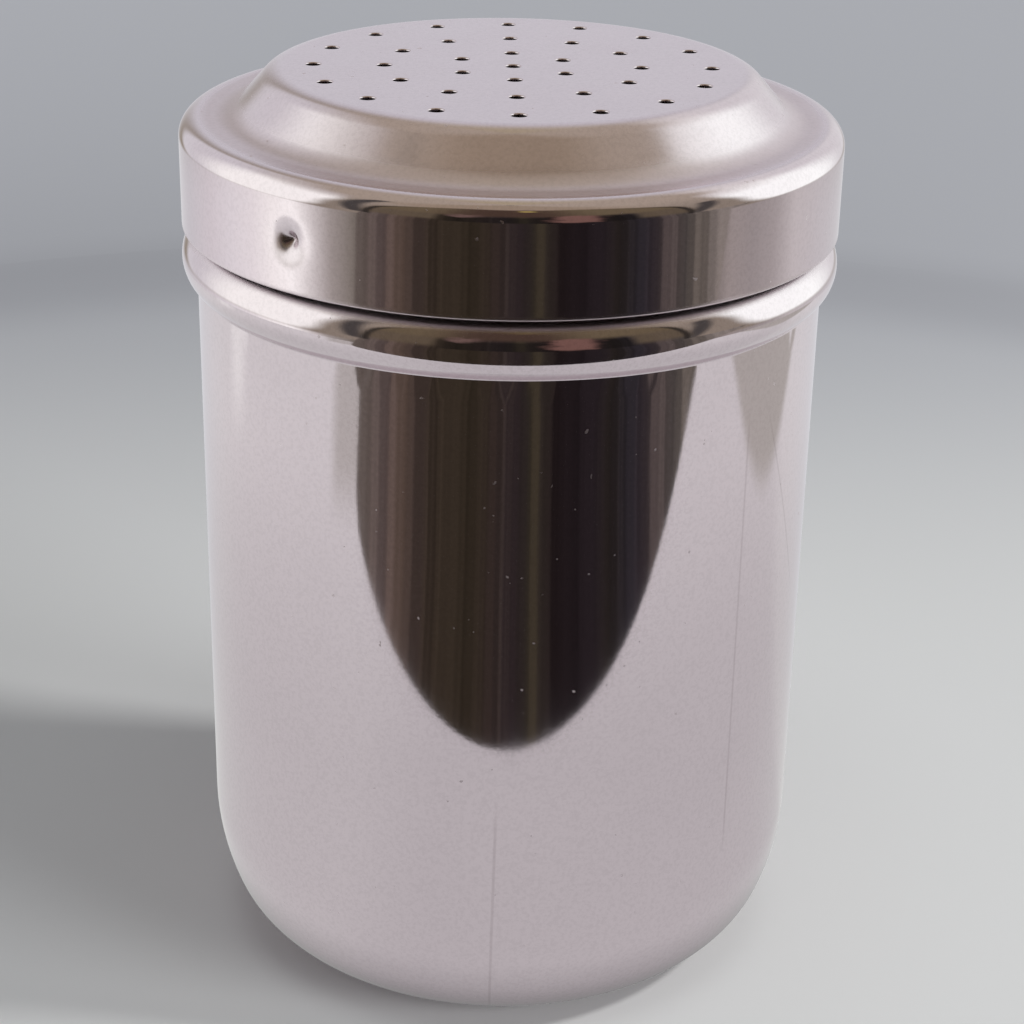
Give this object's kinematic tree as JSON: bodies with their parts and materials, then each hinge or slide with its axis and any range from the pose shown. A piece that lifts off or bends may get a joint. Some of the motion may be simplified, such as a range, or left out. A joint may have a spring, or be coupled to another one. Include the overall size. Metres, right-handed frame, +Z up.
{
  "type": "shaker",
  "caption": "Sheet-steel shaker for salt, spice or flour: a deep-drawn cup with a beaded neck, and a perforated lift-off lid with a bayonet catch.",
  "frame": {"origin": "centre of the foot, on the surface that the shaker stands on", "axes": "+Z up the axis of the cup and the lid; the front faces -Y, with the visible dimple of the catch 37 degrees to its left"},
  "size_m": [0.0672, 0.0672, 0.096],
  "materials": {
    "cup_steel": "polished, with fine handling marks and dull streaks",
    "lid_steel": "polished, slightly satin, with the sprinkle holes punched through"
  },
  "bodies": {
    "cup": {"cup": "cup_steel"},
    "lid": {"lid": "lid_steel"}
  },
  "joints": [
    {"name": "lid_lift", "type": "slide", "parent": "cup", "child": "lid", "axis": [0, 0, 1], "range_m": [0, 0.06]}
  ]
}
